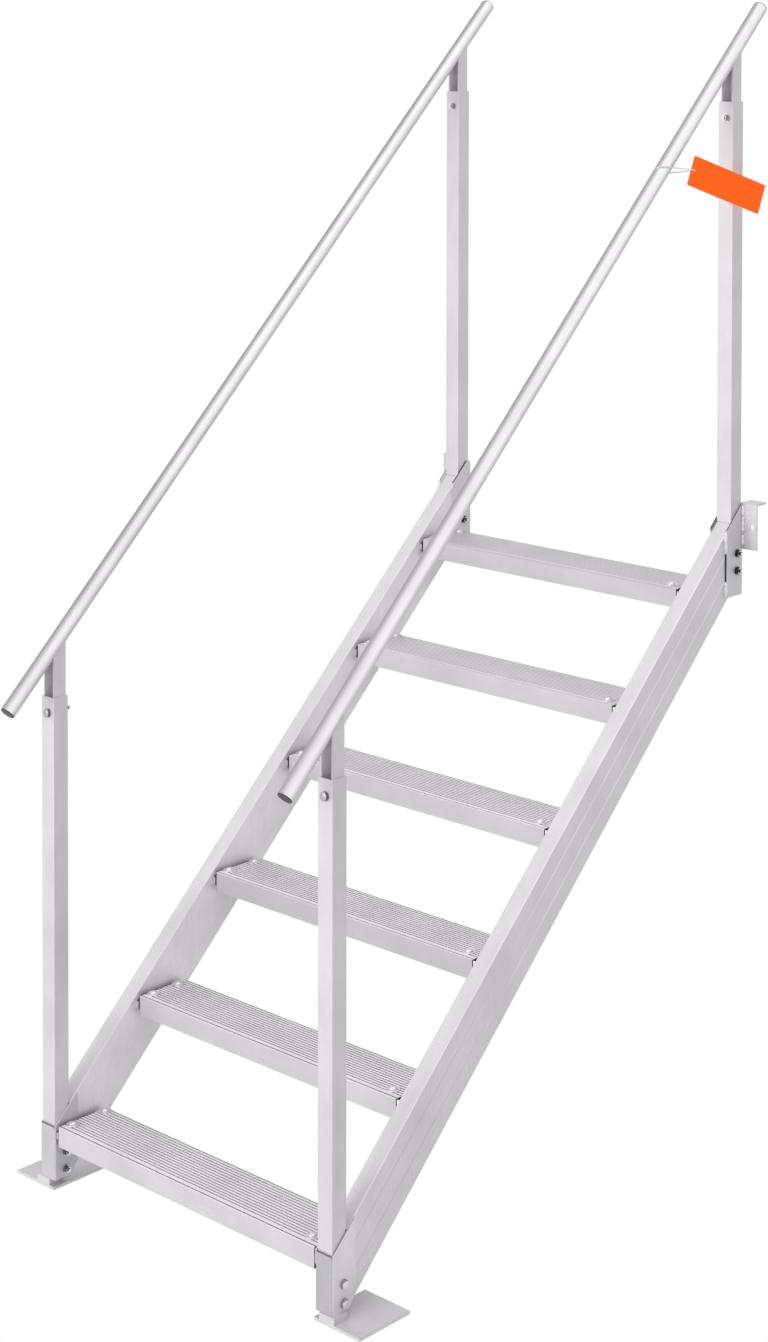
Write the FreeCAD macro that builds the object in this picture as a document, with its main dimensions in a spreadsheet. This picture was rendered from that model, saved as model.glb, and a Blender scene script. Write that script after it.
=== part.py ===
import FreeCAD, Part
import math
import os
import Sketcher

# Aluminium dock stair with handrails. Millimetres, +Z up, +Y towards the dock,
# +X to the right of someone who climbs it.
# Each piece is drawn about the front foot of the posts: y is 0 at the front face
# of the front posts, z is 0 where that face meets the stringer's top.
# Every piece is then moved so that the row's origin is the middle of the right
# hook's underside, the face that rests on the dock.

TREADS = 6

doc = FreeCAD.newDocument("dock_stair")
sheet = doc.addObject("Spreadsheet::Sheet", "Sizes")

SIZES = [
    # posts, and the channels that slide into them
    ("post_width", 38),
    ("post_wall", 3),
    ("front_post_height", 884),
    ("back_post_height", 922),
    ("tube_corner", 1.5),
    ("slide_play", 0.25),
    ("stub_wall", 3),
    ("stub_insert", 120),
    # handrails
    ("rail_width", 32),
    ("rail_wall", 2.5),
    ("rail_rise_front", 106),
    ("rail_rise_back", 100),
    ("rail_low_overhang", 170),
    ("rail_high_overhang", 150),
    ("plug_head", 2),
    ("plug_stem", 16),
    ("plug_lip", 1),
    ("plug_play", 0.2),
    # stringers
    ("span", 794),
    ("stringer_depth", 111),
    ("stringer_wall", 3),
    ("toe_drop", 108),
    ("side_groove_upper", 0.323),
    ("side_groove_lower", 0.671),
    ("side_groove_width", 1.8),
    ("side_groove_depth", 0.6),
    # treads
    ("tread_run", 222),
    ("tread_rise", 208),
    ("tread_depth", 128),
    ("tread_height", 41),
    ("tread_plate", 3.5),
    ("tread_wall", 3),
    ("tread_lip", 12),
    ("tread_end_gap", 10),
    ("nose_setback", 2),
    ("last_tread_clearance", 6),
    ("nose_radius", 1.8),
    ("nose_groove_place", 4.6),
    ("nose_groove_width", 3.6),
    ("nose_groove_depth", 2),
    ("rib_groove_place", 17.5),
    ("rib_groove_pitch", 8.3),
    ("rib_groove_width", 3.2),
    ("rib_groove_depth", 1.4),
    # tread cleats
    ("cleat_wall", 3.5),
    ("cleat_bearing", 45),
    ("cleat_drop", 32.5),
    ("cleat_lead", 1),
    ("cleat_clearance", 2),
    ("cleat_clip_run", 11),
    ("cleat_clip_rise", 9.5),
    # foot brackets and base plates
    ("bracket_wall", 3.2),
    ("bracket_play", 0.25),
    ("bracket_fold", 5),
    ("bracket_corner", 8),
    ("bracket_bevel", 1.4),
    ("foot_depth", 59),
    ("foot_height", 112),
    ("foot_cut_run", 16),
    ("foot_cut_rise", 27),
    ("riser_height", 13),
    ("riser_width", 39),
    ("riser_depth", 36),
    ("riser_inset", 9),
    ("base_width", 116),
    ("base_depth", 137),
    ("base_thickness", 6),
    ("base_lead", 6),
    ("base_inset", 3),
    # side plates and hooks at the dock
    ("side_plate_wall", 3.2),
    ("side_plate_lead", 20),
    ("side_plate_rise", 7),
    ("side_plate_foot", 12),
    ("side_plate_tip", 8),
    ("side_plate_bevel", 1.4),
    ("hook_wall", 4),
    ("hook_bend", 5),
    ("hook_inner_bend", 1),
    ("hook_width", 38),
    ("hook_reach", 36),
    ("hook_drop", 102),
    ("hook_hole", 10.5),
    ("hook_hole_drop", 52),
    ("hook_hole_shift", 6),
]

DERIVED = [
    ("slope", "tread_rise / tread_run"),
    ("stringer_upright_depth", "stringer_depth * sqrt(1 + slope * slope)"),
    ("wall_upright_depth", "stringer_wall * sqrt(1 + slope * slope)"),
    ("half_span", "span / 2"),
    ("inner_face", "half_span - post_width / 2"),
    ("tread_length", "2 * (inner_face - tread_end_gap)"),
    ("rib_room", "tread_depth - rib_groove_place - rib_groove_width / 2"),
    ("rib_grooves", "floor(rib_room / rib_groove_pitch) + 1"),
    ("flight_run", f"nose_setback + {TREADS - 1} * tread_run + tread_depth"),
    ("back_post_run", "flight_run + last_tread_clearance"),
    ("dock_end", "back_post_run + post_width"),
    ("back_foot", "slope * back_post_run"),
    ("rail_front", "front_post_height + rail_rise_front"),
    ("rail_back", "back_foot + back_post_height + rail_rise_back"),
    ("rail_slope", "(rail_back - rail_front) / back_post_run"),
    ("rail_tilt", "-1 * atan(1 / rail_slope)"),
    ("rail_stretch", "sqrt(1 + rail_slope * rail_slope)"),
    ("rail_length", "rail_low_overhang + rail_high_overhang + back_post_run * rail_stretch"),
    ("stub_width", "post_width - 2 * post_wall - 2 * slide_play"),
    ("flange_inset", "bracket_play + bracket_wall"),
    ("plate_face", "half_span + post_width / 2 + side_plate_wall"),
    ("hook_top", "slope * dock_end + side_plate_rise"),
    ("row_x", "plate_face + (hook_width - side_plate_wall) / 2"),
    ("row_y", "dock_end + (hook_wall + hook_reach) / 2"),
    ("row_z", "hook_top - hook_wall"),
]

for row, (alias, value) in enumerate(SIZES, start=1):
    sheet.set(f"A{row}", alias.replace("_", " "))
    sheet.set(f"B{row}", str(value))
    sheet.setAlias(f"B{row}", alias)
for row, (alias, formula) in enumerate(DERIVED, start=len(SIZES) + 1):
    sheet.set(f"A{row}", alias.replace("_", " "))
    sheet.set(f"B{row}", "=" + formula)
    sheet.setAlias(f"B{row}", alias)
doc.recompute()

ALIASES = sorted([a for a, _ in SIZES + DERIVED], key=len, reverse=True)


def bound(text):
    """The same expression with every size named in the spreadsheet."""
    words = text.replace("(", " ( ").replace(")", " ) ").split()
    return " ".join("Sizes." + w if w in ALIASES else w for w in words)


def value(alias):
    """A size as a number, for choosing edges and counting copies."""
    cell = sheet.get(alias)
    return float(getattr(cell, "Value", cell))


def plane(body, role):
    return [f for f in body.Origin.OriginFeatures if f.Role == role][0]


def new_body(name, x="0", y="0", z="0"):
    """A named body whose own origin stands at x, y, z of the stair."""
    body = doc.addObject("PartDesign::Body", name)
    body.Label = name
    place(body, x, y, z)
    return body


def place(thing, x, y, z):
    thing.setExpression("Placement.Base.x", bound(f"{x} - row_x"))
    thing.setExpression("Placement.Base.y", bound(f"{y} - row_y"))
    thing.setExpression("Placement.Base.z", bound(f"{z} - row_z"))


def new_sketch(body, role, offset="0"):
    sketch = body.newObject("Sketcher::SketchObject", body.Name + "_sketch")
    sketch.AttachmentSupport = [(plane(body, role), "")]
    sketch.MapMode = "FlatFace"
    if offset != "0":
        sketch.setExpression("AttachmentOffset.Base.z", bound(offset))
    return sketch


def add_polygon(sketch, points):
    """A closed outline whose corners take their places from expressions."""
    first = sketch.GeometryCount
    count = len(points)
    ring = []
    for i in range(count):
        turn = 2 * math.pi * i / count
        ring.append(FreeCAD.Vector(60 + 20 * math.cos(turn), 60 + 20 * math.sin(turn), 0))
    for i in range(count):
        line = Part.LineSegment(ring[i], ring[(i + 1) % count])
        sketch.addGeometry(line, False)
    for i in range(count):
        nxt = first + (i + 1) % count
        sketch.addConstraint(Sketcher.Constraint("Coincident", first + i, 2, nxt, 1))
    for i, (across, up) in enumerate(points):
        for kind, text in (("DistanceX", across), ("DistanceY", up)):
            rule = Sketcher.Constraint(kind, -1, 1, first + i, 1, 5.0)
            index = sketch.addConstraint(rule)
            title = f"{kind[-1].lower()}{first + i}"
            sketch.renameConstraint(index, title)
            sketch.setExpression(f"Constraints.{title}", bound(text))


def add_circle(sketch, across, up, radius):
    index = sketch.GeometryCount
    middle = FreeCAD.Vector(3, 3, 0)
    sketch.addGeometry(Part.Circle(middle, FreeCAD.Vector(0, 0, 1), 5), False)
    rules = (("DistanceX", across, "x"), ("DistanceY", up, "y"))
    for kind, text, letter in rules:
        rule = sketch.addConstraint(Sketcher.Constraint(kind, -1, 1, index, 3, 3.0))
        sketch.renameConstraint(rule, f"{letter}{index}")
        sketch.setExpression(f"Constraints.{letter}{index}", bound(text))
    rule = sketch.addConstraint(Sketcher.Constraint("Radius", index, 5.0))
    sketch.renameConstraint(rule, f"r{index}")
    sketch.setExpression(f"Constraints.r{index}", bound(radius))


def pad(body, sketch, length, both=True):
    feature = body.newObject("PartDesign::Pad", body.Name + "_pad")
    feature.Profile = sketch
    feature.SideType = "Symmetric" if both else "One side"
    feature.setExpression("Length", bound(length))
    sketch.Visibility = False
    body.Tip = feature
    return feature


def pocket(body, sketch, length, both=True, turned=False):
    feature = body.newObject("PartDesign::Pocket", body.Name + "_pocket")
    feature.Profile = sketch
    feature.SideType = "Symmetric" if both else "One side"
    feature.Reversed = turned
    feature.setExpression("Length", bound(length))
    sketch.Visibility = False
    body.Tip = feature
    return feature


def edges_along(body, direction, keep=None):
    """Names of a body's straight edges along a direction whose middles pass a test."""
    doc.recompute()
    names = []
    for index, edge in enumerate(body.Tip.Shape.Edges, start=1):
        if edge.Curve.TypeId != "Part::GeomLine":
            continue
        start, end = [corner.Point for corner in edge.Vertexes]
        if abs((end - start).normalize().dot(direction)) < 0.9999:
            continue
        if keep is None or keep((start + end) * 0.5):
            names.append(f"Edge{index}")
    return names


def dress(body, kind, names, size):
    """Rounds or bevels the named edges of a body."""
    base = body.Tip
    feature = body.newObject("PartDesign::" + kind, body.Name + "_" + kind.lower())
    feature.Base = (base, names)
    feature.setExpression("Radius" if kind == "Fillet" else "Size", bound(size))
    base.Visibility = False
    body.Tip = feature
    return feature


def repeat(body, feature, role, pitch, count):
    """Copies a cut along one of the body's own axes."""
    pattern = body.newObject("PartDesign::LinearPattern", body.Name + "_row")
    pattern.Originals = [feature]
    pattern.Direction = (plane(body, role), [""])
    pattern.Mode = "Spacing"
    pattern.setExpression("Offset", bound(pitch))
    pattern.setExpression("Occurrences", bound(count))
    body.Tip = pattern
    return pattern


def make_stringer(name, side):
    body = new_body(name, x=f"{side} * half_span")
    outline = new_sketch(body, "YZ_Plane")
    toe = "( stringer_upright_depth - toe_drop ) / slope"
    heel = "slope * dock_end - stringer_upright_depth"
    add_polygon(outline, [
        ("0", "0"),
        ("dock_end", "slope * dock_end"),
        ("dock_end", heel),
        (toe, "-1 * toe_drop"),
        ("0", "-1 * toe_drop"),
    ])
    pad(body, outline, "post_width")
    uphill = FreeCAD.Vector(0, 1, value("slope")).normalize()
    dress(body, "Fillet", edges_along(body, uphill), "tube_corner")
    hollow = new_sketch(body, "YZ_Plane")
    low = "slope * ( dock_end + post_width ) - stringer_upright_depth + wall_upright_depth"
    add_polygon(hollow, [
        ("-1 * post_width", "-1 * slope * post_width - wall_upright_depth"),
        ("dock_end + post_width", "slope * ( dock_end + post_width ) - wall_upright_depth"),
        ("dock_end + post_width", low),
        ("-1 * post_width", "wall_upright_depth - slope * post_width - stringer_upright_depth"),
    ])
    pocket(body, hollow, "post_width - 2 * stringer_wall")
    grooves = new_sketch(body, "YZ_Plane", offset=f"{side} * post_width / 2")
    for share in ("side_groove_upper", "side_groove_lower"):
        middle = f"( {share} * stringer_upright_depth )"
        near = "-1 * slope * post_width"
        far = "slope * ( dock_end + post_width )"
        half = "side_groove_width / 2"
        add_polygon(grooves, [
            ("-1 * post_width", f"{near} - {middle} - {half}"),
            ("dock_end + post_width", f"{far} - {middle} - {half}"),
            ("dock_end + post_width", f"{far} - {middle} + {half}"),
            ("-1 * post_width", f"{near} - {middle} + {half}"),
        ])
    pocket(body, grooves, "2 * side_groove_depth")
    return body


def make_post(name, side, y, z, height):
    body = new_body(name, x=f"{side} * half_span", y=y, z=z)
    outline = new_sketch(body, "YZ_Plane")
    add_polygon(outline, [
        ("0", "0"),
        ("post_width", "slope * post_width"),
        ("post_width", height),
        ("0", height),
    ])
    pad(body, outline, "post_width")
    dress(body, "Fillet", edges_along(body, FreeCAD.Vector(0, 0, 1)), "tube_corner")
    bore = new_sketch(body, "XY_Plane")
    half = "( post_width / 2 - post_wall )"
    add_polygon(bore, [
        (f"-1 * {half}", "post_wall"),
        (half, "post_wall"),
        (half, "post_width - post_wall"),
        (f"-1 * {half}", "post_width - post_wall"),
    ])
    pocket(body, bore, f"{height} + post_width", both=False, turned=True)
    return body


def make_stub(name, side, y, z, rise):
    """A channel open to the front that slides in a post and is coped to the rail.
    Its own origin is on the rail's axis."""
    body = new_body(name + "_channel", x=f"{side} * half_span", y=y, z=z)
    body.Label = name + " channel"
    outline = new_sketch(body, "XY_Plane", offset=f"-1 * ( {rise} + stub_insert )")
    half = "stub_width / 2"
    inner = "( stub_width / 2 - stub_wall )"
    add_polygon(outline, [
        (f"-1 * {half}", f"-1 * {half}"),
        (f"-1 * {inner}", f"-1 * {half}"),
        (f"-1 * {inner}", inner),
        (inner, inner),
        (inner, f"-1 * {half}"),
        (half, f"-1 * {half}"),
        (half, half),
        (f"-1 * {half}", half),
    ])
    pad(body, outline, f"{rise} + stub_insert + rail_slope * stub_width + rail_width", both=False)
    above = new_sketch(body, "YZ_Plane")
    add_polygon(above, [
        ("-1 * post_width", "-1 * rail_slope * post_width"),
        ("post_width", "rail_slope * post_width"),
        ("post_width", "rail_slope * post_width + 4 * rail_width"),
        ("-1 * post_width", "rail_slope * post_width + 4 * rail_width"),
    ])
    pocket(body, above, "2 * post_width")
    round_cut = doc.addObject("Part::Cylinder", name + "_cope")
    round_cut.setExpression("Radius", bound("rail_width / 2"))
    round_cut.setExpression("Height", bound("6 * post_width"))
    back = "3 * post_width / rail_stretch"
    place(round_cut, f"{side} * half_span", f"{y} - {back}", f"{z} - rail_slope * {back}")
    tilt(round_cut)
    stub = doc.addObject("Part::Cut", name)
    stub.Label = name
    stub.Base = body
    stub.Tool = round_cut
    return stub


def tilt(thing):
    """Turns a piece's own Z to lie along the handrail."""
    turn = FreeCAD.Rotation(FreeCAD.Vector(1, 0, 0), -45)
    thing.Placement = FreeCAD.Placement(thing.Placement.Base, turn)
    thing.setExpression("Placement.Rotation.Angle", bound("rail_tilt"))


def on_rail(along):
    """Place along the handrail's axis, measured from the front post's axis."""
    y = f"post_width / 2 + ( {along} ) / rail_stretch"
    z = f"rail_front + rail_slope * ( {along} ) / rail_stretch"
    return y, z


def make_rail(name, side):
    y, z = on_rail("-1 * rail_low_overhang")
    body = new_body(name, f"{side} * half_span", y, z)
    tilt(body)
    ring = new_sketch(body, "XY_Plane")
    add_circle(ring, "0", "0", "rail_width / 2")
    add_circle(ring, "0", "0", "rail_width / 2 - rail_wall")
    pad(body, ring, "rail_length", both=False)
    return body


def make_plug(name, side, low):
    """A push-in cap, its head on the tube's end and its stem in the bore."""
    end = "-1 * rail_low_overhang" if low else "rail_length - rail_low_overhang"
    y, z = on_rail(end)
    body = new_body(name, f"{side} * half_span", y, z)
    tilt(body)
    head = new_sketch(body, "XY_Plane")
    add_circle(head, "0", "0", "rail_width / 2 - plug_lip")
    first = pad(body, head, "plug_head", both=False)
    first.Reversed = low
    stem = new_sketch(body, "XY_Plane")
    add_circle(stem, "0", "0", "rail_width / 2 - rail_wall - plug_play")
    second = pad(body, stem, "plug_stem", both=False)
    second.Reversed = not low
    return body


def make_tread(number):
    name = f"tread_{number}"
    step = number - 1
    body = new_body(name, y=f"nose_setback + {step} * tread_run", z=f"{step} * tread_rise")
    outline = new_sketch(body, "YZ_Plane")
    inside = "( tread_depth - tread_wall )"
    add_polygon(outline, [
        ("0", "0"),
        ("tread_depth", "0"),
        ("tread_depth", "-1 * tread_height"),
        ("tread_depth - tread_lip", "-1 * tread_height"),
        ("tread_depth - tread_lip", "tread_wall - tread_height"),
        (inside, "tread_wall - tread_height"),
        (inside, "-1 * tread_plate"),
        ("tread_wall", "-1 * tread_plate"),
        ("tread_wall", "tread_wall - tread_height"),
        ("tread_lip", "tread_wall - tread_height"),
        ("tread_lip", "-1 * tread_height"),
        ("0", "-1 * tread_height"),
    ])
    pad(body, outline, "tread_length")
    across = FreeCAD.Vector(1, 0, 0)
    nose = edges_along(body, across, lambda m: abs(m.y) < 0.01 and abs(m.z) < 0.01)
    dress(body, "Fillet", nose, "nose_radius")
    add_groove(body, "nose_groove_place", "nose_groove_width", "nose_groove_depth")
    rib = add_groove(body, "rib_groove_place", "rib_groove_width", "rib_groove_depth")
    repeat(body, rib, "Y_Axis", "rib_groove_pitch", "rib_grooves")
    return body


def add_groove(body, middle, width, depth):
    """A groove across the whole of a tread's top."""
    section = new_sketch(body, "YZ_Plane")
    add_polygon(section, [
        (f"{middle} - {width} / 2", f"-1 * {depth}"),
        (f"{middle} + {width} / 2", f"-1 * {depth}"),
        (f"{middle} + {width} / 2", depth),
        (f"{middle} - {width} / 2", depth),
    ])
    return pocket(body, section, "2 * tread_length")


def make_cleat(number, side):
    """A clipped plate beside the tread's end, with a flange under the tread.
    The lowest one is welded to the foot bracket, the others to the stringer."""
    word = "right" if side > 0 else "left"
    step = number - 1
    seat = "( inner_face - flange_inset )" if number == 1 else "inner_face"
    y = f"nose_setback + {step} * tread_run"
    z = f"{step} * tread_rise - tread_plate"
    body = new_body(f"cleat_{number}_{word}", f"{side} * {seat}", y, z)
    outline = new_sketch(body, "YZ_Plane")
    back = "( tread_depth + last_tread_clearance - side_plate_lead - cleat_clearance )"
    add_polygon(outline, [
        ("cleat_lead", "cleat_clip_rise - cleat_drop"),
        ("cleat_lead + cleat_clip_run", "-1 * cleat_drop"),
        (f"{back} - cleat_clip_run", "-1 * cleat_drop"),
        (back, "cleat_clip_rise - cleat_drop"),
        (back, "-1 * cleat_clip_rise"),
        (f"{back} - cleat_clip_run", "0"),
        ("cleat_lead + cleat_clip_run", "0"),
        ("cleat_lead", "-1 * cleat_clip_rise"),
    ])
    web = pad(body, outline, "cleat_wall", both=False)
    web.Reversed = side > 0
    flange = new_sketch(body, "XY_Plane")
    reach = f"{-side} * ( {seat} - tread_length / 2 + cleat_bearing )"
    add_polygon(flange, [
        ("0", "cleat_lead + cleat_clip_run"),
        (reach, "cleat_lead + cleat_clip_run"),
        (reach, f"{back} - cleat_clip_run"),
        ("0", f"{back} - cleat_clip_run"),
    ])
    shelf = pad(body, flange, "cleat_wall", both=False)
    shelf.Reversed = True
    return body


def make_foot_bracket(name, side):
    """A plate folded round the front post's foot and the stringer's end."""
    body = new_body(name, x=f"{side} * half_span")
    outline = new_sketch(body, "YZ_Plane")
    front = "-1 * bracket_wall"
    add_polygon(outline, [
        (front, f"slope * {front}"),
        ("foot_depth", "slope * foot_depth"),
        ("foot_depth", "foot_cut_rise - foot_height"),
        ("foot_depth - foot_cut_run", "-1 * foot_height"),
        (front, "-1 * foot_height"),
    ])
    pad(body, outline, "post_width + 2 * bracket_play + 2 * bracket_wall")
    up = FreeCAD.Vector(0, 0, 1)
    folds = edges_along(body, up, lambda m: m.y < 0)
    dress(body, "Fillet", folds, "bracket_fold")
    across = FreeCAD.Vector(1, 0, 0)
    lower_back = edges_along(body, across, lambda m: m.y > 0 and m.z < 0)
    dress(body, "Fillet", lower_back, "bracket_corner")
    inside = new_sketch(body, "XY_Plane", offset="-2 * foot_height")
    half = "( post_width / 2 + bracket_play )"
    add_polygon(inside, [
        (f"-1 * {half}", "0"),
        (half, "0"),
        (half, "2 * foot_depth"),
        (f"-1 * {half}", "2 * foot_depth"),
    ])
    pocket(body, inside, "4 * foot_height + 2 * foot_depth", both=False, turned=True)
    uphill = FreeCAD.Vector(0, 1, value("slope")).normalize()
    clear = value("post_width") / 2 + value("bracket_play") + 0.01
    rim = edges_along(body, across, lambda m: abs(m.y) + abs(m.z) < 0.01)
    rim += edges_along(body, uphill, lambda m: m.y > 0 and abs(m.x) < clear)
    dress(body, "Chamfer", rim, "bracket_bevel")
    return body


def make_base(name, side):
    """A ground plate with the short riser that the foot bracket stands on."""
    top = "-1 * ( foot_height + riser_height )"
    body = new_body(name, x=f"{side} * half_span", z=top)
    outline = new_sketch(body, "XY_Plane")
    near = f"{-side} * ( post_width / 2 + base_inset )"
    far = f"{side} * ( base_width - post_width / 2 - base_inset )"
    add_polygon(outline, [
        (near, "-1 * base_lead"),
        (far, "-1 * base_lead"),
        (far, "base_depth - base_lead"),
        (near, "base_depth - base_lead"),
    ])
    plate = pad(body, outline, "base_thickness", both=False)
    plate.Reversed = True
    block = new_sketch(body, "XY_Plane")
    inner = f"{-side} * riser_inset"
    outer = f"{side} * ( riser_width - riser_inset )"
    add_polygon(block, [
        (inner, "-1 * base_lead"),
        (outer, "-1 * base_lead"),
        (outer, "riser_depth - base_lead"),
        (inner, "riser_depth - base_lead"),
    ])
    pad(body, block, "riser_height", both=False)
    return body


def make_side_plate(name, side, outer):
    """One of the two plates that clasp the stringer's upper end."""
    out = 1 if outer else -1
    x = f"{side} * ( half_span + {out} * ( post_width / 2 + side_plate_wall / 2 ) )"
    body = new_body(name, x=x)
    outline = new_sketch(body, "YZ_Plane")
    lead = "( back_post_run - side_plate_lead )"
    foot = f"slope * {lead} - stringer_upright_depth + side_plate_foot"
    back = "dock_end" if outer else "( dock_end + hook_wall )"
    add_polygon(outline, [
        (lead, foot),
        (back, foot),
        (back, f"slope * {back} + side_plate_rise"),
        (lead, f"slope * {lead} + side_plate_rise"),
    ])
    pad(body, outline, "side_plate_wall")
    if outer:
        front = value("back_post_run") - value("side_plate_lead")
        up = FreeCAD.Vector(0, 0, 1)
        uphill = FreeCAD.Vector(0, 1, value("slope")).normalize()
        seam = edges_along(body, up, lambda m: m.x * side < 0 and m.y < front + 0.01)
        seam += edges_along(body, uphill, lambda m: m.x * side < 0)
        dress(body, "Chamfer", seam, "side_plate_bevel")
    else:
        across = FreeCAD.Vector(1, 0, 0)
        end, top = value("dock_end"), value("hook_top")
        tip = edges_along(body, across, lambda m: m.y > end and m.z > top)
        dress(body, "Fillet", tip, "side_plate_tip")
    return body


def make_hook(name, side):
    """An angle that hangs on the dock's edge, with a hole to fix it."""
    x = f"{side} * ( plate_face + ( hook_width - side_plate_wall ) / 2 )"
    body = new_body(name, x=x, y="dock_end", z="hook_top")
    outline = new_sketch(body, "YZ_Plane")
    add_polygon(outline, [
        ("0", "0"),
        ("hook_reach", "0"),
        ("hook_reach", "-1 * hook_wall"),
        ("hook_wall", "-1 * hook_wall"),
        ("hook_wall", "-1 * hook_drop"),
        ("0", "-1 * hook_drop"),
    ])
    pad(body, outline, "hook_width + side_plate_wall")
    across = FreeCAD.Vector(1, 0, 0)
    outer_bend = edges_along(body, across, lambda m: abs(m.y) + abs(m.z) < 0.01)
    dress(body, "Fillet", outer_bend, "hook_bend")
    wall = value("hook_wall")
    inner_bend = edges_along(body, across,
                             lambda m: abs(m.y - wall) + abs(m.z + wall) < 0.01)
    dress(body, "Fillet", inner_bend, "hook_inner_bend")
    hole = new_sketch(body, "XZ_Plane")
    shift = f"{side} * ( side_plate_wall / 2 + hook_hole_shift )"
    add_circle(hole, shift, "-1 * hook_hole_drop", "hook_hole / 2")
    pocket(body, hole, "4 * hook_wall")
    return body


NODES = []
for side, word in ((-1, "left"), (1, "right")):
    NODES.append(make_stringer(f"stringer_{word}", side))
    NODES.append(make_post(f"front_post_{word}", side, "0", "0", "front_post_height"))
    NODES.append(make_post(f"back_post_{word}", side, "back_post_run", "back_foot",
                           "back_post_height"))
    NODES.append(make_stub(f"front_stub_{word}", side, "post_width / 2", "rail_front",
                           "rail_rise_front"))
    NODES.append(make_stub(f"back_stub_{word}", side, "back_post_run + post_width / 2",
                           "rail_back", "rail_rise_back"))
    NODES.append(make_rail(f"handrail_{word}", side))
    NODES.append(make_plug(f"low_plug_{word}", side, True))
    NODES.append(make_plug(f"high_plug_{word}", side, False))
    NODES.append(make_foot_bracket(f"foot_bracket_{word}", side))
    NODES.append(make_base(f"base_plate_{word}", side))
    NODES.append(make_side_plate(f"outer_side_plate_{word}", side, True))
    NODES.append(make_side_plate(f"inner_side_plate_{word}", side, False))
    NODES.append(make_hook(f"dock_hook_{word}", side))
for number in range(1, TREADS + 1):
    NODES.append(make_tread(number))
    NODES.append(make_cleat(number, -1))
    NODES.append(make_cleat(number, 1))

doc.recompute()

for thing in doc.Objects:
    if "Invalid" in thing.State or "Error" in thing.State:
        raise RuntimeError(f"{thing.Name} did not recompute")
os.makedirs("parts", exist_ok=True)
for node in NODES:
    if not node.Shape.isValid() or len(node.Shape.Solids) != 1:
        raise RuntimeError(f"{node.Label} is not one valid solid")
    node.Shape.exportStep(f"parts/{node.Label}.step")
print("nodes written:", len(NODES))
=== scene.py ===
import math

import bmesh
import bpy
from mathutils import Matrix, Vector


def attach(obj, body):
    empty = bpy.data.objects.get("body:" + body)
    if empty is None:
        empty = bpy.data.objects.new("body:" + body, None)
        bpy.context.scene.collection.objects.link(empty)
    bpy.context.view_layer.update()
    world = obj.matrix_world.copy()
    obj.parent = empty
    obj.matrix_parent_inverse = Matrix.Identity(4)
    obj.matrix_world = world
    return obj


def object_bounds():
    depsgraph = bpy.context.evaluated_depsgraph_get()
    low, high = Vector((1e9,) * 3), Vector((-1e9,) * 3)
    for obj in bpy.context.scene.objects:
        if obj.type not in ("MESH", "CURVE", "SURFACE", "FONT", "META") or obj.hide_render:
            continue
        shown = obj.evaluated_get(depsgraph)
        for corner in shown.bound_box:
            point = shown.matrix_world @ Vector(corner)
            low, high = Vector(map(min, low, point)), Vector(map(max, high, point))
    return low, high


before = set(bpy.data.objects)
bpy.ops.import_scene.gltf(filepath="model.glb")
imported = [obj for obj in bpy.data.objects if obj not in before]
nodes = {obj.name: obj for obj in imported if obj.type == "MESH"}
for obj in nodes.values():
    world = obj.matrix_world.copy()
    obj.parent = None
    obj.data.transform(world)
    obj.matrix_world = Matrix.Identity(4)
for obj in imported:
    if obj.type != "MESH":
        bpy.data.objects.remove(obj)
cad_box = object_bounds()

# Sizes of the stair in millimetres, in its own drawing frame: x is 0 in the
# middle of the treads, y is 0 at the front face of the front posts, and z is 0
# where that face meets the stringer's top.
ROW_ORIGIN = Vector((436.6, 1304.0, 1206.027))
POST_X = 397
POST_HALF = 19
POST_SIDE = 2 * POST_HALF
BACK_Y = 1246
TREADS = 6
TREAD_START = 2
RUN, RISE = 222, 208
SLOPE = RISE / RUN
STRINGER_DEPTH = 111
UPRIGHT_DEPTH = STRINGER_DEPTH * math.sqrt(1 + SLOPE * SLOPE)
RAIL_SLOPE = 0.962601
RAIL_RADIUS = 16
# a point of the handrails' axes
RAIL_Y, RAIL_Z = 19, 990
PLATE_WALL = 3.2
PLATE_OUT = POST_HALF + PLATE_WALL
BRACKET_GAP = 0.25
BRACKET_OUT = POST_HALF + BRACKET_GAP + PLATE_WALL
STUB_INNER = 12.75
UPHILL = math.atan(SLOPE)
ALONG_RAIL = math.atan(RAIL_SLOPE)

X, Y, Z = Vector((1, 0, 0)), Vector((0, 1, 0)), Vector((0, 0, 1))
BOTH = ((-1, "left"), (1, "right"))


def at(x, y, z):
    """A point of the drawing frame, in the row's frame and metres."""
    return (Vector((x, y, z)) - ROW_ORIGIN) / 1000


def rail_height(y):
    """The height of the handrails' axes."""
    return RAIL_Z + RAIL_SLOPE * (y - RAIL_Y)


def tread_front(number):
    """Where a tread's front lies, and the height of its top."""
    return TREAD_START + RUN * (number - 1), RISE * (number - 1)


# building blocks of the materials

def node_material(name):
    mat = bpy.data.materials.new(name)
    mat.use_nodes = True
    return mat, mat.node_tree, mat.node_tree.nodes["Principled BSDF"]


def mapped(tree, point, location=(0, 0, 0), rotation=(0, 0, 0), scale=(1, 1, 1)):
    """A point, scaled, then turned, then moved."""
    node = tree.nodes.new("ShaderNodeMapping")
    node.inputs["Location"].default_value = location
    node.inputs["Rotation"].default_value = rotation
    node.inputs["Scale"].default_value = scale
    tree.links.new(point, node.inputs["Vector"])
    return node.outputs["Vector"]


def noise(tree, point, scale, detail, roughness=0.5):
    node = tree.nodes.new("ShaderNodeTexNoise")
    node.inputs["Scale"].default_value = scale
    node.inputs["Detail"].default_value = detail
    node.inputs["Roughness"].default_value = roughness
    tree.links.new(point, node.inputs["Vector"])
    return node.outputs["Fac"]


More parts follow.
